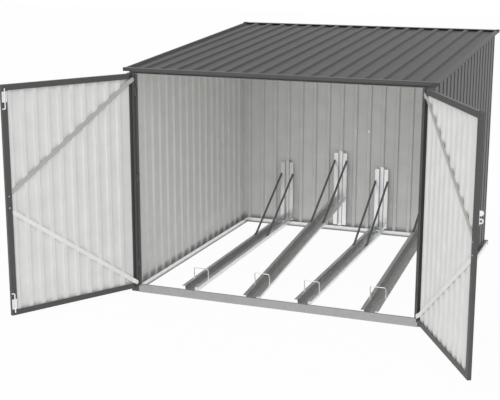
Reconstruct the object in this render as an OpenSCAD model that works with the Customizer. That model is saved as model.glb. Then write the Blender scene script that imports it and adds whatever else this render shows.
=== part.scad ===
// Bike shelter: a square sheet-metal shed with a mono-pitch ribbed roof, two braced
// door leaves and four wheel rails inside. Millimetres.
// X runs to the right seen from the front, Y to the back, Z up. The origin is on the
// ground under the middle of the front sill.

/* [Base] */
// Width over the base rails
base_w = 2256; // [1800:2:3000]
// Depth from the front of the sill to the outside of the back base rail
base_d = 2262; // [1800:2:3000]
// Width of a side base rail
base_rail_w = 76; // [50:1:120]
// Width of the back base rail
back_rail_w = 42; // [36:1:60]
// Height of the outer flange of a base rail
base_rail_h = 35; // [20:1:80]
// Height of the inner lip of a base rail
base_lip_h = 42; // [8:1:54]
// Height of the front sill
sill_h = 60; // [40:1:100]
// Depth of the bottom flange of the sill
sill_d = 120; // [80:1:200]
// Depth of the top flange of the sill
sill_top_d = 14; // [6:1:60]
// How far the sill runs past the doorway at each end
sill_past = 23; // [4:1:36]
// Thickness of the folded steel of base, posts and trims
fold_t = 2; // [1:0.5:4]

/* [Walls] */
// Distance from the outside of a side base rail to the ribs of the side wall
wall_inset = 46; // [30:1:68]
// Distance from the outside of the back base rail to the ribs of the back wall
back_inset = 28; // [20:1:34]
// Thickness of the wall, roof and door sheets
sheet_t = 2; // [1:0.5:4]
// Distance between ribs of the walls and the roof
rib_pitch = 123.2; // [80:0.1:200]
// First rib of the left wall behind the front of the sill
left_first = 146; // [80:1:200]
// First rib of the right wall behind the front of the sill
right_first = 119; // [80:1:200]
// First rib of the back wall from its left end
back_first = 56; // [45:1:160]
// First rib of the roof from its left edge
roof_first = 123; // [70:1:160]
// Height of a rib
rib_h = 14; // [6:1:30]
// Width of a rib at its crest
rib_crest = 26; // [10:1:60]
// Width of a rib at its foot
rib_foot = 44; // [20:1:80]
// Least flat margin beside the outermost rib of a sheet
rib_edge = 9; // [5:1:60]

/* [Front frame] */
// Width of a front post
post_w = 83; // [50:1:140]
// Depth of a front post
post_d = 42; // [25:1:80]
// Distance of posts and header behind the front of the sill
post_back = 3; // [2:1:20]
// Height of the underside of the header
header_z = 1606; // [1300:1:2200]
// Height of the header at its front, up to the roof sheet
header_h = 21; // [12:1:80]

/* [Roof] */
// Slope of the roof, rising to the back
roof_pitch = 3.84; // [1:0.01:12]
// Overhang of the roof sheet beyond the ribs of the back wall
roof_over_back = 79; // [20:1:200]
// Overhang of the roof sheet beyond the ribs of a side wall
roof_over_side = 19; // [5:1:100]
// How far the front trim runs past the roof sheet at each end
front_trim_past = 9; // [0:1:40]
// Drop of the front trim below the roof sheet
front_trim_drop = 6; // [0:1:60]
// Depth of the top flange of the front trim
front_trim_d = 24; // [10:1:80]
// Drop of the back trim below the roof sheet
back_trim_drop = 2; // [0:1:80]
// Depth of the top flange of the back trim
back_trim_d = 36; // [10:1:80]
// Drop of the side trims below the roof sheet
side_trim_drop = 1; // [0:1:60]
// Width of the top flange of the side trims
side_trim_w = 30; // [10:1:60]

/* [Door leaves] */
// Angle each leaf stands open from closed
leaf_open = 120; // [0:1:120]
// Distance of the hinge axis outside the edge of the doorway
hinge_side = 12; // [6:1:40]
// Distance of the hinge axis in front of the sill
hinge_front = 10; // [8:0.5:20]
// Gap between the closed leaves
leaf_meet = 6; // [3:0.5:20]
// Distance from the hinge axis to the hinge edge of the leaf
leaf_start = 10; // [8:0.5:20]
// Height of the lower edge of the leaf
leaf_z0 = 42; // [20:1:120]
// How far the closed leaf covers the header
leaf_cover = 4; // [0:1:20]
// Thickness of the leaf
leaf_t = 24; // [18:1:60]
// How far the inside face of the closed leaf lies behind the hinge axis
leaf_in = 1; // [0:0.5:6]
// Width of the lips of stiles and rails
lip_w = 38; // [20:1:80]
// Width of the inside lip of a hinge stile
hinge_lip = 16; // [8:1:20]
// Lap of the door sheet on the outside lip of the hinge stile
sheet_lap = 7; // [4:1:16]
// Distance between ribs of the door sheet
leaf_pitch = 92.4; // [60:0.1:200]
// First rib of the left door sheet from the hinge axis
left_leaf_first = 134; // [80:1:180]
// First rib of the right door sheet from the hinge axis
right_leaf_first = 86; // [80:1:180]
// Height of a door sheet rib
leaf_rib_h = 12; // [4:1:16]
// Width of a door brace
brace_w = 30; // [15:1:60]
// Thickness of a door brace
brace_t = 3; // [2:0.5:6]
// Distance of the brace ends from half height at the free stile
brace_gap = 64; // [20:1:200]
// Distance of the brace ends from the end of the leaf at the hinge stile
brace_end = 44; // [44:1:120]
// Flat length of a brace behind its rounded end
brace_lap = 14; // [12:1:30]

/* [Hinges] */
// Radius of the hinge pin
pin_r = 3; // [2:0.5:6]
// Running clearance of the pin in its knuckle
pin_clear = 0.05; // [0.01:0.01:0.1]
// Outer radius of a knuckle
knuckle_r = 6.5; // [5:0.5:10]
// Height of a knuckle
knuckle_h = 30; // [15:1:60]
// Gap between the two knuckles of a hinge
knuckle_gap = 0.5; // [0.3:0.1:2]
// Thickness of the strap between the leaf knuckle and the stile
strap_t = 4; // [2:0.5:6]
// Distance of the outer hinges from the ends of the leaf
hinge_end = 160; // [60:1:400]

/* [Locks] */
// Length of a tower bolt plate
bolt_plate_h = 70; // [40:1:120]
// Width of a tower bolt plate
bolt_plate_w = 36; // [20:1:60]
// Radius of a tower bolt rod
bolt_r = 5; // [3:0.5:10]
// Gap between a tower bolt rod and its plate
bolt_gap = 1; // [0.5:0.1:3]
// Thickness of the guides round a tower bolt rod
guide_t = 1.5; // [1.2:0.1:4]
// Radius of the bend of a tower bolt's handle
bolt_bend = 9; // [7:0.5:20]
// Length of the straight end of a tower bolt's handle
bolt_handle = 10; // [4:1:30]
// How far a tower bolt's tip stands past its plate
bolt_tip = 22; // [2:1:24]
// How far a tower bolt's handle stands past its plate
bolt_tail = 34; // [20:1:100]
// Distance of a tower bolt plate from the end of the leaf
bolt_end = 44; // [44:1:200]
// Height of the padlock lug
pad_z = 988; // [400:1:1400]
// Distance of the bolt lug above the padlock lug
lug_gap = 46; // [45:1:90]
// Radius of the pad bolt lugs
lug_r = 16; // [10:1:20]
// Margin of the pad bolt plate beyond the lugs
pad_margin = 8; // [2:1:30]
// How far the lugs stand out from the leaf
lug_out = 30; // [15:1:60]

/* [Wheel rails] */
// Distance of the inner rails from the middle of the set
rail_near = 186; // [120:1:400]
// Distance of the outer rails from the middle of the set
rail_far = 681; // [400:1:1000]
// Shift of the set of rails to the right of the middle plane
rail_shift = 11; // [-60:1:60]
// Width of a rail over its flanges
rail_w = 128; // [80:1:200]
// Width of a flange
rail_flange = 27; // [8:1:28]
// Width of the bottom of a rail
rail_bottom = 70; // [40:1:120]
// Depth of a rail
rail_h = 55; // [30:1:90]
// Front end of the low rails behind the front of the sill
low_front = 95; // [60:1:118]
// Front end of the raised rails behind the front of the sill
high_front = 60; // [40:1:118]
// Rise of a low rail from its front end to its upright
low_rise = 29; // [0:1:120]
// Rise of a raised rail from its front end to its upright
high_rise = 258; // [80:1:400]

/* [Uprights and struts] */
// Depth of an upright
upright_d = 28; // [20:1:80]
// Width of the web of an upright
upright_web = 48; // [30:1:80]
// Width of a flange of an upright
upright_flange = 34; // [20:1:60]
// How far the web of an upright stands above its flanges
web_rise = 14; // [0:1:40]
// Height of the flange feet of an upright above its web
flange_foot = 16; // [0:1:24]
// Height of the top of the low uprights
low_top = 586; // [300:1:1000]
// Height of the top of the raised uprights
high_top = 702; // [400:1:1200]
// Width of a strut
strut_w = 18; // [8:1:30]
// Thickness of a strut
strut_t = 4; // [2:0.5:8]
// Length of the bent lower end of a strut
strut_tab = 36; // [15:1:80]
// Length of the bent upper end of a strut
strut_tip = 14; // [8:1:60]
// Distance of the struts from the middle of their rail
strut_at = 53; // [47:1:54]
// Distance from the wall sheet to the lower end of the struts
strut_run = 655; // [300:1:1000]
// Drop of the strut from the top of a low upright
low_strut_drop = 116; // [30:1:300]
// Drop of the strut from the top of a raised upright
high_strut_drop = 76; // [30:1:300]

/* [Hoops] */
// Distance of the hoops from the front end of a low rail
low_hoop = 205; // [60:1:600]
// Distance of the hoops from the front end of a raised rail
high_hoop = 225; // [60:1:600]
// Height of a hoop above the flanges
hoop_h = 80; // [40:1:150]
// Distance between the legs of a hoop
hoop_w = 112; // [60:1:180]
// Radius of the hoop wire
hoop_r = 3.5; // [2:0.5:8]
// Bend radius of the hoop's corners
hoop_bend = 13; // [8:1:50]

/* [Hidden] */
$fn = 48;
base_half = base_w / 2;
wall_x = base_half - wall_inset;
wall_y = base_d - back_inset;
wall_out_x = wall_x + sheet_t + rib_h;
wall_out_y = wall_y + sheet_t + rib_h;
door_half = wall_out_x - post_w;
roof_z = header_z + header_h;
roof_rise = tan(roof_pitch);
roof_l = (wall_out_y + roof_over_back) / cos(roof_pitch);
roof_half = wall_out_x + roof_over_side;
front_trim_half = roof_half + front_trim_past;
crest_z = sheet_t + rib_h;
hinge_x = door_half + hinge_side;
leaf_reach = hinge_x - leaf_meet / 2;
leaf_z1 = header_z + leaf_cover;
leaf_mid = (leaf_z0 + leaf_z1) / 2;
leaf_h = leaf_z1 - leaf_z0;
leaf_out = leaf_in - leaf_t;
leaf_sheet_y = leaf_out + fold_t;
upright_y = wall_y - upright_d;
dark_paint = "#565656";
pale_coat = "#d6d6d3";
galvanised = "#b9bab8";
rail_zinc = "#777a78";
bright_zinc = "#dcdedd";
strut_grey = "#4a4a4a";

// Height of the underside of the roof sheet at a depth
function roof_under(y) = roof_z + y * roof_rise;

// The four corners of one rib's outer line, as [across, up]
function rib_at(c, foot, crest, h) =
  [[c - foot / 2, 0], [c - crest / 2, h], [c + crest / 2, h], [c + foot / 2, 0]];

// The same corners on the other face of a sheet of even thickness
function rib_under(c, foot, crest, h, t) =
  let (s = t * tan(atan2(h, (foot - crest) / 2) / 2))
  [[c - foot / 2 + s, -t], [c - crest / 2 + s, h - t],
   [c + crest / 2 - s, h - t], [c + foot / 2 - s, -t]];

// Section of a ribbed sheet from a to b with ribs at the given centres
module ribbed_section(a, b, centres, foot, crest, h, t) {
  over = [for (c = centres) each rib_at(c, foot, crest, h)];
  under = [for (c = centres) each rib_under(c, foot, crest, h, t)];
  last = len(under) - 1;
  polygon(concat([[a, 0]], over, [[b, 0], [b, -t]],
    [for (i = [last : -1 : 0]) under[i]], [[a, -t]]));
}

// Centres of a row of ribs, as many as fit before the flat margin at the end of the sheet
function rib_row(first, end, pitch) =
  [for (c = [first : pitch : end - rib_foot / 2 - rib_edge]) c];

// Moves a piece so that the frame's origin lies under the middle of the sill
module placed() {
  translate([0, -sill_d / 2, 0]) children();
}

// Mirrors a left-hand piece to the right side
module on_side(side) {
  if (side > 0) mirror([1, 0, 0]) children();
  else children();
}

// Extrudes a section drawn in depth and height, centred on the middle plane
module across(half) {
  rotate([90, 0, 90]) translate([0, 0, -half]) linear_extrude(2 * half) children();
}

// Space under the roof sheet, used to trim the wall tops to the slope
module under_roof() {
  across(base_w)
    polygon([[-sill_d, 0], [base_d + sill_d, 0],
      [base_d + sill_d, roof_under(base_d + sill_d)], [-sill_d, roof_under(-sill_d)]]);
}

// Stands a piece on the sloping roof plane, front edge at the origin
module on_roof() {
  placed() translate([0, 0, roof_z]) rotate([roof_pitch, 0, 0]) children();
}

// Folded sill: front web and bottom flange, with a top flange between the posts
module front_sill() {
  color(galvanised) placed() {
    across(door_half + sill_past)
      polygon([[0, 0], [sill_d, 0], [sill_d, fold_t], [fold_t, fold_t],
        [fold_t, sill_h], [0, sill_h]]);
    across(door_half)
      translate([0, sill_h - fold_t]) square([sill_top_d, fold_t]);
  }
}

// Section of a base rail without its lip: bottom, and outer flange at the far side
module base_section(width) {
  square([width, fold_t]);
  translate([width - fold_t, 0]) square([fold_t, base_rail_h]);
}

// Channel under a side wall, from the post to the back rail
module side_base_rail(side) {
  run = base_d - back_rail_w;
  color(galvanised) placed() on_side(-side)
    translate([base_half - base_rail_w, run, 0])
      rotate([90, 0, 0])
        linear_extrude(run - post_back - post_d) {
          base_section(base_rail_w);
          square([fold_t, base_lip_h]);
        }
}

// The lip runs between the lips of the side rails
module back_base_rail() {
  color(galvanised) placed() translate([0, base_d - back_rail_w, 0]) {
    across(base_half) base_section(back_rail_w);
    across(base_half - base_rail_w) square([fold_t, base_lip_h]);
  }
}

// Pin bracket of one hinge, fixed to the front of the post
module hinge_bracket(z) {
  translate([-hinge_x, -hinge_front, z]) {
    cylinder(r = knuckle_r, h = knuckle_h);
    cylinder(r = pin_r, h = 2 * knuckle_h);
    translate([-2 * knuckle_r, hinge_front - strap_t, 0])
      cube([3 * knuckle_r, strap_t + post_back, knuckle_h]);
  }
}

function hinge_heights() = [leaf_z0 + hinge_end, leaf_mid, leaf_z1 - hinge_end];

// Corner angle: front face, and a flange that meets the side wall
module front_post(side) {
  color(dark_paint) placed() on_side(side) {
    translate([-door_half - post_w, post_back, fold_t])
      linear_extrude(header_z - fold_t) {
        square([post_w, fold_t]);
        square([fold_t, post_d]);
      }
    for (z = hinge_heights()) hinge_bracket(z);
  }
}

// Angle over the doorway: bottom flange on the posts, web behind it up to the roof
module front_header() {
  back = post_back + post_d;
  web = back - fold_t;
  color(dark_paint) placed()
    across(wall_out_x)
      polygon([[post_back, header_z], [back, header_z], [back, roof_under(back)],
        [web, roof_under(web)], [web, header_z + fold_t], [post_back, header_z + fold_t]]);
}

// Sheet behind the post, flat outside, its ribs standing inwards
module side_wall(side) {
  front = post_back + post_d;
  end = wall_out_y - sheet_t;
  row = rib_row(side < 0 ? left_first : right_first, end, rib_pitch);
  color(dark_paint) placed() on_side(side)
    intersection() {
      translate([0, 0, fold_t])
        linear_extrude(2 * roof_z)
          translate([sheet_t - wall_out_x, 0])
            rotate(90) mirror([0, 1])
              ribbed_section(front, end, row, rib_foot, rib_crest, rib_h, sheet_t);
      under_roof();
    }
}

// Sheet over the ends of the side sheets, its ribs standing inwards
module back_wall() {
  row = rib_row(back_first - wall_out_x, wall_out_x, rib_pitch);
  color(dark_paint) placed()
    intersection() {
      translate([0, wall_out_y - sheet_t, fold_t])
        linear_extrude(2 * roof_z)
          mirror([0, 1])
            ribbed_section(-wall_out_x, wall_out_x, row, rib_foot, rib_crest, rib_h, sheet_t);
      under_roof();
    }
}

module roof_sheet() {
  row = rib_row(roof_first - roof_half, roof_half - side_trim_w, rib_pitch);
  color(dark_paint) on_roof()
    translate([0, roof_l, sheet_t])
      rotate([90, 0, 0])
        linear_extrude(roof_l)
          ribbed_section(-roof_half, roof_half, row, rib_foot, rib_crest, rib_h, sheet_t);
}

module front_roof_trim() {
  color(dark_paint) on_roof()
    across(front_trim_half)
      polygon([[-fold_t, -front_trim_drop], [0, -front_trim_drop], [0, crest_z],
        [front_trim_d, crest_z], [front_trim_d, crest_z + fold_t],
        [-fold_t, crest_z + fold_t]]);
}

module back_roof_trim() {
  color(dark_paint) on_roof()
    translate([0, roof_l, 0])
      across(roof_half)
        polygon([[0, -back_trim_drop], [fold_t, -back_trim_drop], [fold_t, crest_z + fold_t],
          [-back_trim_d, crest_z + fold_t], [-back_trim_d, crest_z], [0, crest_z]]);
}

// Cap as high as a rib over the side edge of the roof sheet
module side_roof_trim(side) {
  inner = fold_t - side_trim_w;
  color(dark_paint) on_roof() on_side(-side)
    translate([roof_half, roof_l - back_trim_d, 0])
      rotate([90, 0, 0])
        linear_extrude(roof_l - back_trim_d - front_trim_d)
          polygon([[0, -side_trim_drop], [fold_t, -side_trim_drop], [fold_t, crest_z],
            [-side_trim_w, crest_z], [-side_trim_w, sheet_t], [inner, sheet_t],
            [inner, crest_z - fold_t], [0, crest_z - fold_t]]);
}

// Places a leaf modelled closed, hinge axis at the origin, running to the right
module leaf_place(side) {
  placed() on_side(side)
    translate([-hinge_x, -hinge_front, 0])
      rotate([0, 0, -leaf_open])
        children();
}

// Channel section of a leaf member: web at zero, lips running to the right
module leaf_channel(inside_lip) {
  translate([0, leaf_out]) {
    square([fold_t, leaf_t]);
    square([lip_w, fold_t]);
    translate([0, leaf_t - fold_t]) square([inside_lip, fold_t]);
  }
}

// Knuckle and strap of one hinge on the edge of the stile
module hinge_knuckle(z) {
  low = z + knuckle_h + knuckle_gap;
  difference() {
    union() {
      translate([0, 0, low]) cylinder(r = knuckle_r, h = knuckle_h);
      translate([leaf_start - strap_t, leaf_out + fold_t, low])
        cube([strap_t, -leaf_out - fold_t, knuckle_h]);
    }
    translate([0, 0, low - 1]) cylinder(r = pin_r + pin_clear, h = knuckle_h + 2);
  }
}

module hinge_stile(side) {
  color(dark_paint) leaf_place(side) {
    translate([leaf_start, 0, leaf_z0]) linear_extrude(leaf_h) leaf_channel(hinge_lip);
    for (z = hinge_heights()) hinge_knuckle(z);
  }
}

module free_stile(side) {
  color(dark_paint) leaf_place(side)
    translate([leaf_reach, 0, leaf_z0])
      linear_extrude(leaf_h) mirror([1, 0]) leaf_channel(lip_w);
}

// Top or bottom member between the stiles, web outwards
module leaf_rail(side, top) {
  run = leaf_reach - leaf_start - 2 * lip_w;
  color(dark_paint) leaf_place(side)
    translate([leaf_start + lip_w, 0, top ? leaf_z1 : leaf_z0])
      rotate([0, 90, 0])
        linear_extrude(run)
          mirror([top ? 0 : 1, 0]) leaf_channel(lip_w);
}

module leaf_sheet(side) {
  a = leaf_start + lip_w - sheet_lap;
  b = leaf_reach - fold_t;
  row = rib_row(side < 0 ? left_leaf_first : right_leaf_first, b, leaf_pitch);
  color(pale_coat) leaf_place(side)
    translate([0, leaf_sheet_y + sheet_t, leaf_z0 + fold_t])
      linear_extrude(leaf_h - 2 * fold_t)
        ribbed_section(a, b, row, rib_foot, rib_crest, leaf_rib_h, sheet_t);
}

// One diagonal strip: its rounded end lies on the hinge stile's lip, the rest on the ribs
module brace(p, q) {
  run = norm(q - p);
  low = leaf_sheet_y + sheet_t + leaf_rib_h;
  bend = brace_lap + 2 * (leaf_in - low);
  line = [[0, leaf_in], [brace_lap, leaf_in], [bend, low], [run, low]];
  translate([p[0], 0, p[1]])
    rotate([0, -atan2(q[1] - p[1], q[0] - p[0]), 0]) {
      translate([0, 0, -brace_w / 2])
        linear_extrude(brace_w)
          polygon(concat(line, [for (k = [3 : -1 : 0]) line[k] + [0, brace_t]]));
      translate([0, leaf_in, 0])
        rotate([-90, 0, 0]) cylinder(r = brace_w / 2, h = brace_t);
    }
}

module braces(side) {
  near = leaf_start + hinge_lip;
  far = leaf_reach - lip_w;
  color(pale_coat) leaf_place(side) {
    brace([near, leaf_z1 - brace_end], [far, leaf_mid + brace_gap]);
    brace([near, leaf_z0 + brace_end], [far, leaf_mid - brace_gap]);
  }
}

// One tower bolt on the inside of the free stile: tip at the low end, handle at the high end
module tower_bolt() {
  guide_r = bolt_r + guide_t;
  lift = fold_t + bolt_gap + bolt_r;
  translate([-bolt_plate_w / 2, 0, 0]) cube([bolt_plate_w, fold_t, bolt_plate_h]);
  for (z = [0, bolt_plate_h - 2 * bolt_r])
    translate([0, lift, z]) {
      cylinder(r = guide_r, h = 2 * bolt_r);
      translate([-guide_r, -lift, 0]) cube([2 * guide_r, lift, 2 * bolt_r]);
    }
  translate([0, lift, -bolt_tip]) cylinder(r = bolt_r, h = bolt_tip + bolt_plate_h + bolt_tail);
  translate([bolt_bend, lift, bolt_plate_h + bolt_tail])
    rotate([90, 0, 0]) rotate([0, 0, 90])
      rotate_extrude(angle = 90) translate([bolt_bend, 0]) circle(bolt_r);
  translate([bolt_bend, lift, bolt_plate_h + bolt_tail + bolt_bend])
    rotate([0, 90, 0]) cylinder(r = bolt_r, h = bolt_handle);
}

// The upper bolt is the lower one turned over
module left_tower_bolts() {
  color(bright_zinc) leaf_place(-1)
    translate([leaf_reach - lip_w / 2, leaf_in, 0]) {
      translate([0, 0, leaf_z0 + bolt_end]) tower_bolt();
      translate([0, 0, leaf_z1 - bolt_end]) mirror([0, 0, 1]) tower_bolt();
    }
}

// Rounded lug standing out from the leaf, with or without a padlock hole
module lug(z, hole) {
  translate([0, 0, z]) rotate([0, 90, 0])
    linear_extrude(strap_t)
      difference() {
        intersection() {
          union() {
            translate([0, lug_r - lug_out]) circle(lug_r);
            translate([-lug_r, lug_r - lug_out]) square([2 * lug_r, lug_out - lug_r]);
          }
          translate([-lug_r, -lug_out]) square([2 * lug_r, lug_out]);
        }
        if (hole) translate([0, lug_r - lug_out]) circle(lug_r / 2);
      }
}

module right_pad_bolt() {
  color(bright_zinc) leaf_place(1)
    translate([leaf_reach - lip_w / 2, leaf_out, pad_z]) {
      translate([-bolt_plate_w / 2, -fold_t, -lug_r - pad_margin])
        cube([bolt_plate_w, fold_t, lug_gap + 2 * (lug_r + pad_margin)]);
      translate([0, -fold_t, 0]) {
        lug(0, true);
        lug(lug_gap, false);
      }
    }
}

function rail_x(i) = rail_shift + [-rail_far, -rail_near, rail_near, rail_far][i - 1];
function is_high(i) = i % 2 == 0;
function rail_front(i) = is_high(i) ? high_front : low_front;
function rail_slope(i) =
  atan2(is_high(i) ? high_rise : low_rise, upright_y - rail_front(i));
function upright_top(i) = is_high(i) ? high_top : low_top;
function strut_drop(i) = is_high(i) ? high_strut_drop : low_strut_drop;
function rail_run(i) =
  (upright_y - rail_front(i)) / cos(rail_slope(i));

// Open channel with flanges turned out, bottom on zero
module rail_section(depth) {
  top_in = rail_w / 2 - rail_flange;
  bottom_half = rail_bottom / 2;
  polygon([[-rail_w / 2, depth], [-rail_w / 2, depth - fold_t],
    [-top_in - fold_t, depth - fold_t], [-bottom_half, 0], [bottom_half, 0],
    [top_in + fold_t, depth - fold_t], [rail_w / 2, depth - fold_t], [rail_w / 2, depth],
    [top_in, depth], [bottom_half - fold_t, fold_t], [-bottom_half + fold_t, fold_t],
    [-top_in, depth]]);
}

// Runs along a sloping rail: Y along it from its front end, Z square to it
module along_rail(i) {
  placed() translate([rail_x(i), rail_front(i), fold_t])
    rotate([rail_slope(i), 0, 0]) children();
}

// The upper end is cut plumb where it meets the upright
module wheel_rail(i) {
  run = rail_run(i) + rail_h;
  color(rail_zinc)
    intersection() {
      along_rail(i)
        translate([0, run, 0])
          rotate([90, 0, 0])
            linear_extrude(run)
              rail_section(rail_h);
      placed() translate([rail_x(i) - rail_w, 0, 0])
        cube([2 * rail_w, upright_y, high_top]);
    }
}

module wheel_hoop(i) {
  half = hoop_w / 2;
  leg = hoop_h - hoop_bend - hoop_r;
  color(bright_zinc) along_rail(i)
    translate([0, is_high(i) ? high_hoop : low_hoop, rail_h]) {
      for (s = [-1, 1]) {
        translate([s * half, 0, 0]) cylinder(r = hoop_r, h = leg);
        translate([s * (half - hoop_bend), 0, leg])
          rotate([90, 0, 0])
            rotate([0, 0, s > 0 ? 0 : 90])
              rotate_extrude(angle = 90)
                translate([hoop_bend, 0]) circle(hoop_r);
      }
      translate([-half + hoop_bend, 0, leg + hoop_bend])
        rotate([0, 90, 0]) cylinder(r = hoop_r, h = hoop_w - 2 * hoop_bend);
    }
}

// Hat section of an upright, its web against the wall
module upright_section() {
  half = upright_web / 2;
  inner = half - fold_t;
  out = half + upright_flange;
  front = fold_t - upright_d;
  polygon([[-half, 0], [half, 0], [half, front], [out, front], [out, -upright_d],
    [inner, -upright_d], [inner, -fold_t], [-inner, -fold_t], [-inner, -upright_d],
    [-out, -upright_d], [-out, front], [-half, front]]);
}

// The web runs past the flanges at both ends and stands on the lip of the back base rail
module upright(i) {
  foot = base_lip_h + flange_foot;
  color(bright_zinc) placed() translate([rail_x(i), wall_y, 0]) {
    translate([0, 0, foot])
      linear_extrude(upright_top(i) - foot) upright_section();
    translate([-upright_web / 2, -fold_t, base_lip_h])
      cube([upright_web, fold_t, upright_top(i) + web_rise - base_lip_h]);
  }
}

// Offset at the bend between two unit directions, for a strip one unit thick
function mitre(a, b) = [-a[1] - b[1], a[0] + b[0]] / (1 + a * b);

// Bent flat bar from a rail flange to an upright flange, in depth and height
module strut(i) {
  s = rail_slope(i);
  foot_y = wall_y - strut_run;
  foot = [foot_y, fold_t + (foot_y - rail_front(i)) * tan(s) + rail_h / cos(s)];
  head = [upright_y, upright_top(i) - strut_drop(i)];
  along = [cos(s), sin(s)];
  lean = (head - foot) / norm(head - foot);
  up = [0, 1];
  line = [foot - strut_tab * along, foot, head, head + strut_tip * up];
  bends = [mitre(along, along), mitre(along, lean), mitre(lean, up), mitre(up, up)];
  across(strut_w / 2)
    polygon(concat(line, [for (k = [3 : -1 : 0]) line[k] + strut_t * bends[k]]));
}

module struts(i) {
  color(strut_grey) placed()
    for (s = [-1, 1])
      translate([rail_x(i) + s * strut_at, 0, 0]) strut(i);
}

front_sill();
side_base_rail(-1);  // left_base_rail
side_base_rail(1);  // right_base_rail
back_base_rail();
front_post(-1);  // left_front_post
front_post(1);  // right_front_post
front_header();
side_wall(-1);  // left_wall
side_wall(1);  // right_wall
back_wall();
roof_sheet();
front_roof_trim();
back_roof_trim();
side_roof_trim(-1);  // left_roof_trim
side_roof_trim(1);  // right_roof_trim
hinge_stile(-1);  // left_hinge_stile
free_stile(-1);  // left_free_stile
leaf_rail(-1, true);  // left_top_rail
leaf_rail(-1, false);  // left_bottom_rail
leaf_sheet(-1);  // left_leaf_sheet
braces(-1);  // left_braces
left_tower_bolts();
hinge_stile(1);  // right_hinge_stile
free_stile(1);  // right_free_stile
leaf_rail(1, true);  // right_top_rail
leaf_rail(1, false);  // right_bottom_rail
leaf_sheet(1);  // right_leaf_sheet
braces(1);  // right_braces
right_pad_bolt();
wheel_rail(1);  // wheel_rail_1
wheel_rail(2);  // wheel_rail_2
wheel_rail(3);  // wheel_rail_3
wheel_rail(4);  // wheel_rail_4
wheel_hoop(1);  // wheel_hoop_1
wheel_hoop(2);  // wheel_hoop_2
wheel_hoop(3);  // wheel_hoop_3
wheel_hoop(4);  // wheel_hoop_4
upright(1);  // upright_1
upright(2);  // upright_2
upright(3);  // upright_3
upright(4);  // upright_4
struts(1);  // struts_1
struts(2);  // struts_2
struts(3);  // struts_3
struts(4);  // struts_4
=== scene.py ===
"""Looks of a sheet-metal bike shelter: finishes of its coated sheets and zinc-coated steel, its small
fasteners, and a plain pale studio round it. Metres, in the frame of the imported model."""
import math

import bpy
import numpy as np
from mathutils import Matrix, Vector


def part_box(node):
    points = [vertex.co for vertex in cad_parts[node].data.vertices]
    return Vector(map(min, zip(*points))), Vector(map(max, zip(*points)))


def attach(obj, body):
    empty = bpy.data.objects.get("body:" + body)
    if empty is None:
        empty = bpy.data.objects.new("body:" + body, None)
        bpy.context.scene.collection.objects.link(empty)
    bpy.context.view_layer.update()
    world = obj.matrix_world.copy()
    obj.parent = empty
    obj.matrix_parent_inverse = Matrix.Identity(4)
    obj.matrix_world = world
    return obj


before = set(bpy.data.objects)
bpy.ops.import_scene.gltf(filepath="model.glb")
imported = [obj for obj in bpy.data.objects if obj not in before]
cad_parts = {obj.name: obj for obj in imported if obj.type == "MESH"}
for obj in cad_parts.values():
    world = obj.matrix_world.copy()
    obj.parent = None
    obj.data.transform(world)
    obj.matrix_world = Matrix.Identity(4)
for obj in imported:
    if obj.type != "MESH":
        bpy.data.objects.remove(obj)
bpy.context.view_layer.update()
MM = 0.001

# Camera of the photograph
CAMERA_AT = (2.5534, -7.0218, 2.5450)
CAMERA_TURN_DEG = 21.336
CAMERA_DOWN_DEG = 13.361
CAMERA_ROLL_DEG = -0.06
LENS_MM = 79.98
SENSOR_MM = 36.0

# Light levels, where 1 shows a colour as it is written
SKY = 0.68
KEY = 0.9
KEY_FROM = (0.02, -0.76, 0.65)
KEY_SPREAD_DEG = 80
BACKDROP = 1.0
# Share of glow in the floor, to the eye and to gloss, and where it only sends light back to the object
FLOOR_SEEN = 0.96
FLOOR_LIT = 0.5
FLOOR_HALF = 30.0

# Colours of the coats. Some pieces have a tone of their own, as the photograph shows them
ANTHRACITE = "#5b5b5b"
ROOF_COAT = "#5f5f5f"
# The roof's trims: the anthracite coat, painted darker as shade
EDGE_SHADED_COAT = "#4c4c4c"
# The left roof cap: painted shade on its top and painted light on its side
CAP_TOP_SHADE = "#404040"
CAP_SIDE_LIGHT = "#747474"
# The header: the anthracite coat, painted paler as light in the roof's shade
HEADER_LIT_COAT = "#949494"
POST_COAT = "#646464"
BACKING = "#e8e8e6"
# The braces: painted light on the lower ones and painted shade on the upper ones
LOW_BRACE_LIGHT = "#f2f2f0"
HIGH_BRACE_SHADE = "#bcbcb9"
GRAPHITE = "#787878"
# Grime colour, also used as painted shade at the foot of the walls, on the back wall's rib flanks and at the
# base rails' foot
GRIME_AND_SHADE = "#6a6a68"
STUDIO_GROUND = "#f0f0f0"
WHITE = "#ffffff"

# Reflectances of the zinc, and a darker zinc painted as shade in the folds of the uprights
FOLD_SHADE_ZINC = "#9a9b9a"
SILL_ZINC = "#adadad"
BASE_ZINC = "#eeefef"
RAIL_ZINC = "#e2e3e3"
BRIGHT_ZINC = "#f3f4f4"

# Places of the solids that the finishes and the fittings refer to
NUMBERS = range(1, 5)
SIDES = ((-1, "left"), (1, "right"))
LEAF_SWING = math.radians(120)
HINGE_X = 1.027
HINGE_Y = -0.070
LEAF_MIDDLE = 0.83
SIDE_FLATS = 1.096
BACK_FLATS = 2.188
BACK_CRESTS = 2.174
BASE_INNER_X = 1.060
BASE_INNER_Y = 2.224
RAIL_X = (-0.670, -0.175, 0.197, 0.692)
LOW_RAIL = (29, 2111)
HIGH_RAIL = (258, 2146)
RAIL_SLOPE = [math.atan2(rise, run) for rise, run in (LOW_RAIL, HIGH_RAIL, LOW_RAIL, HIGH_RAIL)]


def linear(hex_colour):
    """Turns an sRGB hex colour such as #5a5a5a into linear red, green, blue and alpha."""
    srgb = np.array([int(hex_colour[i:i + 2], 16) for i in (1, 3, 5)]) / 255
    low = srgb / 12.92
    high = ((srgb + 0.055) / 1.055) ** 2.4
    return (*np.where(srgb <= 0.04045, low, high).tolist(), 1.0)


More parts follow.
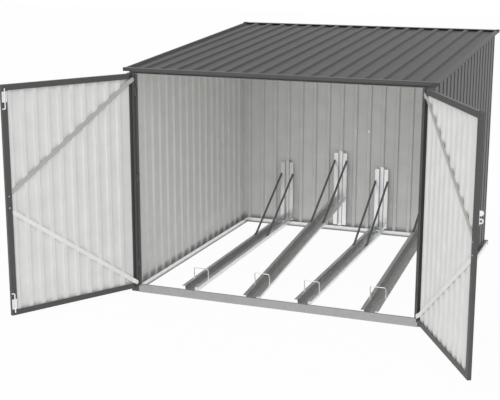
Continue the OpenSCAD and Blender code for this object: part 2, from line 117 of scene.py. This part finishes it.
def node(tree, kind, inputs=None, **settings):
    """Adds one shader node, sets its settings, and fills or links its inputs by name or number."""
    made = tree.nodes.new(kind)
    for name, value in settings.items():
        setattr(made, name, value)
    for key, value in (inputs or {}).items():
        if isinstance(value, bpy.types.NodeSocket):
            tree.links.new(value, made.inputs[key])
        else:
            made.inputs[key].default_value = value
    return made


def new_material(name):
    """An empty node material, its tree, and a node with its coordinates and normal."""
    material = bpy.data.materials.new(name)
    material.use_nodes = True
    tree = material.node_tree
    tree.nodes.clear()
    place = node(tree, "ShaderNodeTexCoord")
    return material, tree, place


def per_metre(size_mm):
    """Texture scale at which one feature of the pattern is as large as the given size."""
    return 1.0 / (size_mm * MM)


def coated_sheet(name, outside, inside=None, out_axis=(0, 0, 1), rough=0.4, gloss=0.08,
                 flat_at=None, below=None, shaded_flank=0.0):
    """Coil-coated steel sheet: a satin polyester coat with a fine orange peel and a slight waviness of
    the thin sheet. An inside colour is the backing coat, on the faces that look away from out_axis, or,
    with a height in below, the coat of what lies under that height; on the left roof cap and on the
    braces the two colours are painted light and shade. With flat_at, the distance of the sheet's flats
    along out_axis, painted shade darkens the foot between ribs. The last argument is how strongly
    painted shade darkens the flanks of the ribs that look along +X."""
    material, tree, place = new_material(name)
    where = place.outputs["Object"]
    # The peel of the coat is about 1.5 mm wide and is drawn at 9 mm, so that it shows in the picture
    peel = node(tree, "ShaderNodeTexNoise", {"Vector": where, "Scale": per_metre(9), "Detail": 3.0})
    # Thin sheet is never flat: it bellies over about 300 mm
    belly = node(tree, "ShaderNodeTexNoise", {"Vector": where, "Scale": per_metre(300), "Detail": 1.0})
    # Handling and dust change the tone a little over about 120 mm
    cloud = node(tree, "ShaderNodeTexNoise", {"Vector": where, "Scale": per_metre(120), "Detail": 4.0})
    tone = node(tree, "ShaderNodeMapRange", {"Value": cloud.outputs["Fac"], "From Min": 0.3,
                                             "From Max": 0.7, "To Min": 0.96, "To Max": 1.03})
    colour = linear(outside)
    if inside:
        if below:
            level = node(tree, "ShaderNodeSeparateXYZ", {"Vector": where})
            compared = level.outputs["Z"]
        else:
            facing = node(tree, "ShaderNodeVectorMath", {0: place.outputs["Normal"], 1: out_axis},
                          operation="DOT_PRODUCT")
            compared = facing.outputs["Value"]
        second = node(tree, "ShaderNodeMath", {0: compared, 1: below or 0.0}, operation="LESS_THAN")
        coats = node(tree, "ShaderNodeMix", {"Factor": second.outputs[0], 6: linear(outside),
                                             7: linear(inside)}, data_type="RGBA")
        colour = coats.outputs[2]
    toned = node(tree, "ShaderNodeMix", {"Factor": 1.0, 6: colour, 7: tone.outputs["Result"]},
                 data_type="RGBA", blend_type="MULTIPLY")
    if flat_at:
        # Painted shade in the valleys reaches up to 30 mm above the base rail and fades out over the 14 mm
        # depth of a rib
        depth = node(tree, "ShaderNodeVectorMath", {0: where, 1: out_axis}, operation="DOT_PRODUCT")
        valley = node(tree, "ShaderNodeMapRange", {"Value": depth.outputs["Value"],
                                                   "From Min": flat_at - 14 * MM,
                                                   "From Max": flat_at - 4 * MM})
        height = node(tree, "ShaderNodeSeparateXYZ", {"Vector": where})
        low = node(tree, "ShaderNodeMapRange", {"Value": height.outputs["Z"], "From Min": 48 * MM,
                                                "From Max": 80 * MM, "To Min": 0.4, "To Max": 0.0})
        valley_shade = node(tree, "ShaderNodeMath", {0: valley.outputs["Result"], 1: low.outputs["Result"]},
                    operation="MULTIPLY")
        toned = node(tree, "ShaderNodeMix", {"Factor": valley_shade.outputs[0], 6: toned.outputs[2],
                                             7: linear(GRIME_AND_SHADE)}, data_type="RGBA")
    if shaded_flank:
        # Painted shade on the rib flanks that look along +X
        look = node(tree, "ShaderNodeSeparateXYZ", {"Vector": place.outputs["Normal"]})
        flank = node(tree, "ShaderNodeMapRange", {"Value": look.outputs["X"], "From Min": 0.3,
                                                  "From Max": 0.8, "To Max": shaded_flank})
        toned = node(tree, "ShaderNodeMix", {"Factor": flank.outputs["Result"], 6: toned.outputs[2],
                                             7: linear(GRIME_AND_SHADE)}, data_type="RGBA")
    matt = node(tree, "ShaderNodeMapRange", {"Value": peel.outputs["Fac"], "From Min": 0.3,
                                             "From Max": 0.7, "To Min": rough - 0.05,
                                             "To Max": rough + 0.05})
    wavy = node(tree, "ShaderNodeBump", {"Height": belly.outputs["Fac"], "Strength": 0.12,
                                         "Distance": 2.0 * MM})
    skin = node(tree, "ShaderNodeBump", {"Height": peel.outputs["Fac"], "Strength": 0.12,
                                         "Distance": 0.4 * MM, "Normal": wavy.outputs["Normal"]})
    coat = node(tree, "ShaderNodeBsdfPrincipled", {"Base Color": toned.outputs[2],
                                                   "Roughness": matt.outputs["Result"], "IOR": 1.5,
                                                   "Specular IOR Level": gloss,
                                                   "Normal": skin.outputs["Normal"]})
    node(tree, "ShaderNodeOutputMaterial", {"Surface": coat.outputs[0]})
    return material


def zinc_coated(name, colour, spangle_mm, rough, contrast, grimy_shaded_foot=False, fold_x=None):
    """Zinc-coated steel: silvery metal with the faint crystal spangle of the zinc and a cloudy bloom.
    A dirty foot darkens the lowest 24 mm with grime and painted shade, where the piece stands on the
    ground. With fold_x, the middle of an upright, painted shade darkens the faces that look along X,
    inside its folds, and the web beside one fold."""
    material, tree, place = new_material(name)
    where = place.outputs["Object"]
    # The crystals are about 8 mm wide and are drawn at the given size, so that they show in the picture
    spangle = node(tree, "ShaderNodeTexVoronoi", {"Vector": where, "Scale": per_metre(spangle_mm)})
    tone = node(tree, "ShaderNodeMapRange", {"Value": spangle.outputs["Color"], "To Min": 1.0 - contrast,
                                             "To Max": 1.0})
    # The bloom of the zinc changes over about 70 mm
    bloom = node(tree, "ShaderNodeTexNoise", {"Vector": where, "Scale": per_metre(70), "Detail": 2.0})
    matt = node(tree, "ShaderNodeMapRange", {"Value": bloom.outputs["Fac"], "From Min": 0.3,
                                             "From Max": 0.7, "To Min": rough - 0.08,
                                             "To Max": rough + 0.08})
    toned = node(tree, "ShaderNodeMix", {"Factor": 1.0, 6: linear(colour), 7: tone.outputs["Result"]},
                 data_type="RGBA", blend_type="MULTIPLY")
    if grimy_shaded_foot:
        spot = node(tree, "ShaderNodeSeparateXYZ", {"Vector": where})
        low = node(tree, "ShaderNodeMapRange", {"Value": spot.outputs["Z"], "From Min": 3 * MM,
                                                "From Max": 24 * MM, "To Min": 1.0, "To Max": 0.0})
        # Grime and painted shade lie only on the faces round the inside; rain washes the outside clean
        across = node(tree, "ShaderNodeMath", {0: spot.outputs["X"]}, operation="ABSOLUTE")
        within = node(tree, "ShaderNodeMath", {0: across.outputs[0], 1: BASE_INNER_X},
                      operation="LESS_THAN")
        before = node(tree, "ShaderNodeMath", {0: spot.outputs["Y"], 1: BASE_INNER_Y},
                      operation="LESS_THAN")
        round_inside = node(tree, "ShaderNodeMath", {0: within.outputs[0], 1: before.outputs[0]},
                            operation="MULTIPLY")
        foot_grime_and_shade = node(tree, "ShaderNodeMath", {0: low.outputs["Result"], 1: round_inside.outputs[0]},
                    operation="MULTIPLY")
        toned = node(tree, "ShaderNodeMix", {"Factor": foot_grime_and_shade.outputs[0], 6: toned.outputs[2],
                                             7: linear(GRIME_AND_SHADE)}, data_type="RGBA")
    if fold_x is not None:
        # Painted shade on the faces that look along X inside the folds, and on a band of the web beside one
        # fold
        facing = node(tree, "ShaderNodeSeparateXYZ", {"Vector": place.outputs["Normal"]})
        turned_away = node(tree, "ShaderNodeMath", {0: facing.outputs["X"]}, operation="ABSOLUTE")
        # The web is 48 mm wide. From 10 mm beside its middle to its edge it is painted with the shade of a
        # fold
        spot = node(tree, "ShaderNodeSeparateXYZ", {"Vector": where})
        beside = node(tree, "ShaderNodeMapRange", {"Value": spot.outputs["X"], "From Min": fold_x + 7 * MM,
                                                   "From Max": fold_x + 10 * MM, "To Max": 0.9})
        on_web = node(tree, "ShaderNodeMath", {0: spot.outputs["X"], 1: fold_x + 24.5 * MM},
                      operation="LESS_THAN")
        line = node(tree, "ShaderNodeMath", {0: beside.outputs["Result"], 1: on_web.outputs[0]},
                    operation="MULTIPLY")
        folds = node(tree, "ShaderNodeMath", {0: turned_away.outputs[0], 1: line.outputs[0]},
                     operation="MAXIMUM")
        toned = node(tree, "ShaderNodeMix", {"Factor": folds.outputs[0], 6: toned.outputs[2],
                                             7: linear(FOLD_SHADE_ZINC)}, data_type="RGBA")
    skin = node(tree, "ShaderNodeBump", {"Height": bloom.outputs["Fac"], "Strength": 0.05,
                                         "Distance": 0.5 * MM})
    zinc = node(tree, "ShaderNodeBsdfPrincipled", {"Base Color": toned.outputs[2], "Metallic": 1.0,
                                                   "Roughness": matt.outputs["Result"],
                                                   "Normal": skin.outputs["Normal"]})
    node(tree, "ShaderNodeOutputMaterial", {"Surface": zinc.outputs[0]})
    return material


def dress(nodes, material):
    """Gives the CAD nodes one material."""
    for name in nodes:
        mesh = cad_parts[name].data
        mesh.materials.clear()
        mesh.materials.append(material)


def soften(nodes, radius_mm):
    """Rounds the sharp folds of CAD nodes, as bent sheet has them, with a weld and a bevel modifier."""
    for name in nodes:
        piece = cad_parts[name]
        weld = piece.modifiers.new("weld", "WELD")
        weld.merge_threshold = 0.01 * MM
        bevel = piece.modifiers.new("bevel", "BEVEL")
        bevel.width = radius_mm * MM
        bevel.segments = 2
        bevel.limit_method = "ANGLE"
        bevel.angle_limit = math.radians(40)


def numbered(name):
    """Names of the four like pieces, one for each wheel rail."""
    return [f"{name}_{number}" for number in NUMBERS]


def swung(side):
    """Outward direction of a leaf's outer face where it stands open."""
    return (side * math.sin(LEAF_SWING), -math.cos(LEAF_SWING), 0.0)


# Dark satin coat of the folded steel, with a soft broad sheen
anthracite = coated_sheet("anthracite_polyester_coat", ANTHRACITE)
# The same coat on the roof's trims, painted darker as shade, so that it reads as a darker line round the
# roof
edge_shaded_coat = coated_sheet("anthracite_edge_shaded_coat", EDGE_SHADED_COAT)
# A duller coat on the left roof cap, dark on top as painted shade and paler as painted light on the side
# that looks over the roof
cap_shade_and_light = coated_sheet("anthracite_cap_shade_and_light", CAP_TOP_SHADE, CAP_SIDE_LIGHT, (-1, 0, 0), 0.5, 0.02)
# A paler coat on the header: painted light that lifts the shade of the roof on it, so that it isn't black
header_painted_light = coated_sheet("anthracite_header_painted_light", HEADER_LIT_COAT)
# A slightly paler satin coat on the posts
post_coat = coated_sheet("anthracite_post_coat", POST_COAT)
# Pale braces on the leaves: painted shade makes the upper ones greyer than the sheet, and painted light the
# lower ones whiter
brace_light_and_shade = coated_sheet("pale_polyester_light_and_shade", HIGH_BRACE_SHADE, LOW_BRACE_LIGHT, below=LEAF_MIDDLE)
# Dull dark grey powder coat of the struts
graphite = coated_sheet("graphite_powder_coat", GRAPHITE)
# Bright silver plating of wire and bolts, with clear highlights
bright_zinc = zinc_coated("bright_zinc_plate", BRIGHT_ZINC, 18, 0.26, 0.05)
# Even mid-grey metal of the sill, without clear reflections
sill_zinc = zinc_coated("dull_galvanised_steel", SILL_ZINC, 22, 0.45, 0.1)
# Light silver of the base rails, darker at the foot with grime and painted shade
base_zinc = zinc_coated("hot_dip_galvanised_steel", BASE_ZINC, 22, 0.45, 0.1, grimy_shaded_foot=True)
# Cloudy silver of the wheel rails, whose channels mirror the dark and the pale around them
rail_zinc = zinc_coated("zinc_coated_rail_steel", RAIL_ZINC, 26, 0.34, 0.14)

dress(["front_roof_trim"], anthracite)
dress(["left_front_post", "right_front_post"], post_coat)
dress(["front_header"], header_painted_light)
dress(["back_roof_trim", "right_roof_trim"], edge_shaded_coat)
dress(["left_roof_trim"], cap_shade_and_light)
# Two-coat sheets: satin anthracite to the weather, and a pale grey backing coat that lightens the inside
for side, hand in SIDES:
    dress([f"{hand}_hinge_stile", f"{hand}_free_stile", f"{hand}_top_rail", f"{hand}_bottom_rail"],
          anthracite)
    # Painted shade at the foot between ribs
    dress([f"{hand}_wall"], coated_sheet(f"two_coat_sheet_{hand}_wall", ANTHRACITE, BACKING, (side, 0, 0),
                                         flat_at=SIDE_FLATS))
    dress([f"{hand}_leaf_sheet"], coated_sheet(f"two_coat_sheet_{hand}_leaf", ANTHRACITE, BACKING,
                                               swung(side)))
# Painted shade at the foot between ribs, as on the side walls, and on the rib flanks that look along +X
dress(["back_wall"], coated_sheet("two_coat_sheet_back_wall", ANTHRACITE, BACKING, (0, 1, 0),
                                  flat_at=BACK_FLATS, shaded_flank=0.2))
dress(["roof_sheet"], coated_sheet("two_coat_sheet_roof", ROOF_COAT, BACKING, (0, 0, 1), 0.45, 0.03))
dress(["left_braces", "right_braces"], brace_light_and_shade)
dress(["front_sill"], sill_zinc)
dress(["left_base_rail", "right_base_rail", "back_base_rail"], base_zinc)
dress(numbered("wheel_rail"), rail_zinc)
# Bright zinc sheet of the uprights: pale bands, with painted shade as dark lines along the folds
for number, x in zip(NUMBERS, RAIL_X):
    dress([f"upright_{number}"], zinc_coated(f"bright_zinc_sheet_{number}", BRIGHT_ZINC, 18, 0.36, 0.04,
                                             fold_x=x))
dress(numbered("wheel_hoop") + ["left_tower_bolts", "right_pad_bolt"], bright_zinc)
dress(numbered("struts"), graphite)
soften(["front_sill", "front_roof_trim", "left_base_rail", "right_base_rail", "back_base_rail"]
       + numbered("wheel_rail") + numbered("struts"), 0.7)


def turned(profile_mm, places, axis, steps):
    """Surfaces of revolution. A point lies at the profile's radius from the axis, at an angle that runs
    once round, and at the profile's height along the axis. One copy stands at each place, and each pole
    is a single vertex."""
    profile = np.asarray(profile_mm, float) * MM
    places = np.asarray(places, float).reshape(-1, 3)
    axis = np.asarray(axis, float) / np.linalg.norm(axis)
    across = np.cross(np.eye(3)[np.argmin(np.abs(axis))], axis)
    across /= np.linalg.norm(across)
    angle = np.arange(steps) * 2 * np.pi / steps
    spokes = np.cos(angle)[:, None] * across + np.sin(angle)[:, None] * np.cross(axis, across)
    rings = profile[1:-1, 0, None, None] * spokes + profile[1:-1, 1, None, None] * axis
    one = np.concatenate([rings.reshape(-1, 3), profile[[0, -1], 1, None] * axis])
    rows = len(profile) - 2
    row, spoke = np.meshgrid(np.arange(rows - 1) * steps, np.arange(steps), indexing="ij")
    beyond = (spoke + 1) % steps
    quads = np.stack([row + spoke, row + steps + spoke, row + steps + beyond, row + beyond], -1)
    pole = rows * steps
    last = pole - steps
    top = np.stack([np.full(steps, pole), spoke[0], beyond[0]], -1)
    foot = np.stack([np.full(steps, pole + 1), last + beyond[0], last + spoke[0]], -1)
    shift = (np.arange(len(places)) * len(one))[:, None, None]
    sides = (shift + quads.reshape(-1, 4)).reshape(-1, 4)
    ends = (shift + np.concatenate([top, foot])).reshape(-1, 3)
    return (places[:, None] + one).reshape(-1, 3), [sides, ends]


def swept(section_mm, path, side, up):
    """A closed section carried along a path that runs the way side crossed with up points. A point is the
    path's point plus the section's first number along side and its second along up. Flat faces close
    both ends."""
    section = np.asarray(section_mm, float) * MM
    path = np.asarray(path, float)
    offset = section[:, :1] * np.asarray(side, float) + section[:, 1:] * np.asarray(up, float)
    points = (path[:, None] + offset).reshape(-1, 3)
    count = len(section)
    row, corner = np.meshgrid(np.arange(len(path) - 1) * count, np.arange(count), indexing="ij")
    beyond = (corner + 1) % count
    quads = np.stack([row + corner, row + beyond, row + count + beyond, row + count + corner], -1)
    ring = np.arange(count)
    ends = np.stack([ring[::-1], ring + len(points) - count])
    return points, [quads.reshape(-1, 4), ends]


def joined(*surfaces):
    """Several surfaces as one: their points in a row, and the numbers in their faces moved along by the
    points before them."""
    starts = np.cumsum([0] + [len(points) for points, _ in surfaces])
    blocks = [block + start for start, (_, faces) in zip(starts, surfaces) for block in faces]
    return np.concatenate([points for points, _ in surfaces]), blocks


def add_piece(name, surface, body, material, smooth):
    """Makes an object of a surface, which moves with a CAD body and takes its finish from a slot."""
    points, blocks = surface
    faces = [face for block in blocks for face in block.tolist()]
    mesh = bpy.data.meshes.new(name)
    mesh.from_pydata(points.tolist(), [], faces)
    mesh.polygons.foreach_set("use_smooth", np.full(len(faces), smooth))
    mesh.materials.append(material)
    piece = bpy.data.objects.new(name, mesh)
    bpy.context.scene.collection.objects.link(piece)
    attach(piece, body)


def on_leaf(side, points_mm):
    """Points of a leaf where it stands open: the hinge axis plus the first number along the leaf, the
    second towards its inside and the third upwards."""
    along, inward, height = np.asarray(points_mm, float).T[:, :, None] * MM
    run = np.array([-side * math.cos(LEAF_SWING), -math.sin(LEAF_SWING), 0.0])
    hinge = np.array([side * HINGE_X, HINGE_Y, 0.0])
    return hinge + along * run - inward * np.array(swung(side)) + height * np.array([0.0, 0.0, 1.0])


# Radius and height in mm of a washer-headed screw, a rivet and a hexagon nut
SCREW = [(0, 4.2), (2.6, 3.9), (3.6, 3.0), (4.0, 1.6), (8.0, 1.5), (8.4, 0.6), (8.4, 0.0), (0, 0)]
RIVET = [(0, 2.4), (2.2, 2.1), (3.8, 1.2), (4.5, 0.0), (0, 0)]
NUT = [(0, 6.0), (4.6, 6.0), (6.6, 5.0), (6.6, 0.0), (0, 0)]
ROUND = 16
HEXAGON = 6

# Screws stand on ribs of the back wall
SCREW_AT = [(x, BACK_CRESTS, 0.905) for x in (-0.549, -0.056, 0.067)]
# Struts and hoop legs from the rail's middle, bolts from the ends of the struts, and thicknesses
STRUT_OUT = 0.053
STRUT_T = 0.004
STRUT_BOLT_IN = 0.018
STRUT_HEAD_DOWN = 0.007
HOOP_LEG_OUT = 0.056
HOOP_LEG_IN = 0.004
RAIL_T = 0.002
# Rivets of a leaf in mm: along it from the hinge axis, towards its inside, and above the ground
HINGE_LIP = [(18, 1, z) for z in (140, 480, 1170, 1510)]
FREE_LIP = [(1005, 1, z) for z in (790, 869)]
BRACE_ENDS = [(26, 4, z) for z in (86, 1566)]
# Caps on the ends of the back trim: from where to where, half depth and half height in mm, roundness
CAP_FROM = 1.098
CAP_TO = 1.121
CAP_HALF_MM = (21, 13)
CAP_POWER = 0.35
CAP_STEPS = 24


def rounded_box(half_mm, power, steps):
    """Outline of a box with round corners: the cosine and the sine of an angle that runs once round, each
    raised to a power with its sign kept, times half the depth and half the height."""
    angle = np.arange(steps) * 2 * np.pi / steps
    circle = np.stack([np.cos(angle), np.sin(angle)], -1)
    return np.abs(circle) ** power * np.sign(circle) * half_mm


def fittings():
    """Screws of the back wall, bolts of the struts, nuts of the hoops, rivets of the leaves, and the caps
    that close the ends of the roof's back trim."""
    add_piece("back_wall_screws", turned(SCREW, SCREW_AT, (0, -1, 0), ROUND),
              "shed", bright_zinc, False)
    for number, x, slope in zip(NUMBERS, RAIL_X, RAIL_SLOPE):
        normal = np.array([0.0, -math.sin(slope), math.cos(slope)])
        low, high = np.array(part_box(f"struts_{number}"))
        rise = STRUT_T + STRUT_BOLT_IN * math.sin(slope)
        feet = [(x + side * STRUT_OUT, low[1] + STRUT_BOLT_IN, low[2] + rise) for side in (-1, 1)]
        heads = [(x + side * STRUT_OUT, high[1] - STRUT_T, high[2] - STRUT_HEAD_DOWN) for side in (-1, 1)]
        add_piece(f"strut_bolts_{number}", joined(turned(NUT, feet, normal, HEXAGON),
                                                  turned(RIVET, heads, (0, -1, 0), ROUND)),
                  "shed", graphite, False)
        low, _ = np.array(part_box(f"wheel_hoop_{number}"))
        legs = np.array([(x + side * HOOP_LEG_OUT, low[1] + HOOP_LEG_IN, low[2]) for side in (-1, 1)])
        add_piece(f"hoop_nuts_{number}", joined(turned(NUT, legs, normal, HEXAGON),
                                                turned(NUT, legs - RAIL_T * normal, -normal, HEXAGON)),
                  "shed", bright_zinc, False)
    for side, hand in SIDES:
        inward = -np.array(swung(side))
        add_piece(f"{hand}_hinge_rivets", turned(RIVET, on_leaf(side, HINGE_LIP), inward, ROUND),
                  f"{hand}_leaf", anthracite, True)
        add_piece(f"{hand}_stile_rivets", turned(RIVET, on_leaf(side, FREE_LIP), inward, ROUND),
                  f"{hand}_leaf", bright_zinc, True)
        # The brace rivets take the braces' painted light and shade
        add_piece(f"{hand}_brace_rivets", turned(RIVET, on_leaf(side, BRACE_ENDS), inward, ROUND),
                  f"{hand}_leaf", brace_light_and_shade, True)
    outline = rounded_box(CAP_HALF_MM, CAP_POWER, CAP_STEPS)
    middle = np.mean(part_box("back_roof_trim"), 0)
    for side, hand in SIDES:
        path = [(x, middle[1], middle[2]) for x in sorted([side * CAP_FROM, side * CAP_TO])]
        # The caps take the trims' coat, painted darker as shade
        add_piece(f"{hand}_trim_cap", swept(outline, path, (0, 1, 0), (0, 0, 1)),
                  "shed", edge_shaded_coat, False)


def seen_directly(tree):
    """Output that is 1 where the eye looks, straight, by gloss or through glass, and 0 for other light."""
    ray = node(tree, "ShaderNodeLightPath")
    direct = node(tree, "ShaderNodeMath", {0: ray.outputs["Is Camera Ray"], 1: ray.outputs["Is Glossy Ray"]},
                  operation="MAXIMUM")
    seen = node(tree, "ShaderNodeMath", {0: direct.outputs[0], 1: ray.outputs["Is Transmission Ray"]},
                operation="MAXIMUM")
    return seen.outputs[0]


def pale_stage():
    """Floor and backdrop: pale matt ground that shows white to the eye and to gloss and keeps a soft
    shadow."""
    material, tree, _ = new_material("pale_studio_ground")
    share = node(tree, "ShaderNodeMapRange", {"Value": seen_directly(tree), "To Min": FLOOR_LIT,
                                              "To Max": FLOOR_SEEN})
    matt = node(tree, "ShaderNodeBsdfDiffuse", {"Color": linear(STUDIO_GROUND)})
    glow = node(tree, "ShaderNodeEmission", {"Color": linear(WHITE), "Strength": BACKDROP})
    mixed = node(tree, "ShaderNodeMixShader", {0: share.outputs["Result"], 1: matt.outputs[0],
                                               2: glow.outputs[0]})
    node(tree, "ShaderNodeOutputMaterial", {"Surface": mixed.outputs[0]})
    mesh = bpy.data.meshes.new("studio_floor")
    corners = [(-1, -1, 0), (1, -1, 0), (1, 1, 0), (-1, 1, 0)]
    mesh.from_pydata((np.array(corners) * FLOOR_HALF).tolist(), [], [(0, 1, 2, 3)])
    mesh.materials.append(material)
    floor = bpy.data.objects.new("studio_floor", mesh)
    bpy.context.scene.collection.objects.link(floor)


def studio_light():
    """An even pale sky, white to the eye, and one broad soft lamp from above and in front."""
    world = bpy.data.worlds.new("pale_sky")
    bpy.context.scene.world = world
    world.use_nodes = True
    tree = world.node_tree
    tree.nodes.clear()
    strength = node(tree, "ShaderNodeMapRange", {"Value": seen_directly(tree), "To Min": SKY,
                                                 "To Max": BACKDROP})
    sky = node(tree, "ShaderNodeBackground", {"Color": linear(WHITE),
                                              "Strength": strength.outputs["Result"]})
    node(tree, "ShaderNodeOutputWorld", {"Surface": sky.outputs[0]})
    lamp = bpy.data.lights.new("soft_key", "SUN")
    lamp.energy = KEY
    lamp.angle = math.radians(KEY_SPREAD_DEG)
    key = bpy.data.objects.new("soft_key", lamp)
    x, y, z = KEY_FROM
    key.rotation_euler = (math.atan2(math.hypot(x, y), z), 0.0, math.atan2(x, -y))
    bpy.context.scene.collection.objects.link(key)


def photo_camera():
    """Camera where the photograph was taken from."""
    lens = bpy.data.cameras.new("photo_camera")
    lens.lens = LENS_MM
    lens.sensor_width = SENSOR_MM
    camera = bpy.data.objects.new("photo_camera", lens)
    camera.location = CAMERA_AT
    camera.rotation_euler = (math.radians(90 - CAMERA_DOWN_DEG), math.radians(CAMERA_ROLL_DEG),
                             math.radians(CAMERA_TURN_DEG))
    bpy.context.scene.collection.objects.link(camera)
    bpy.context.scene.camera = camera


fittings()
photo_camera()
studio_light()
pale_stage()
bpy.context.scene.view_settings.view_transform = "Standard"
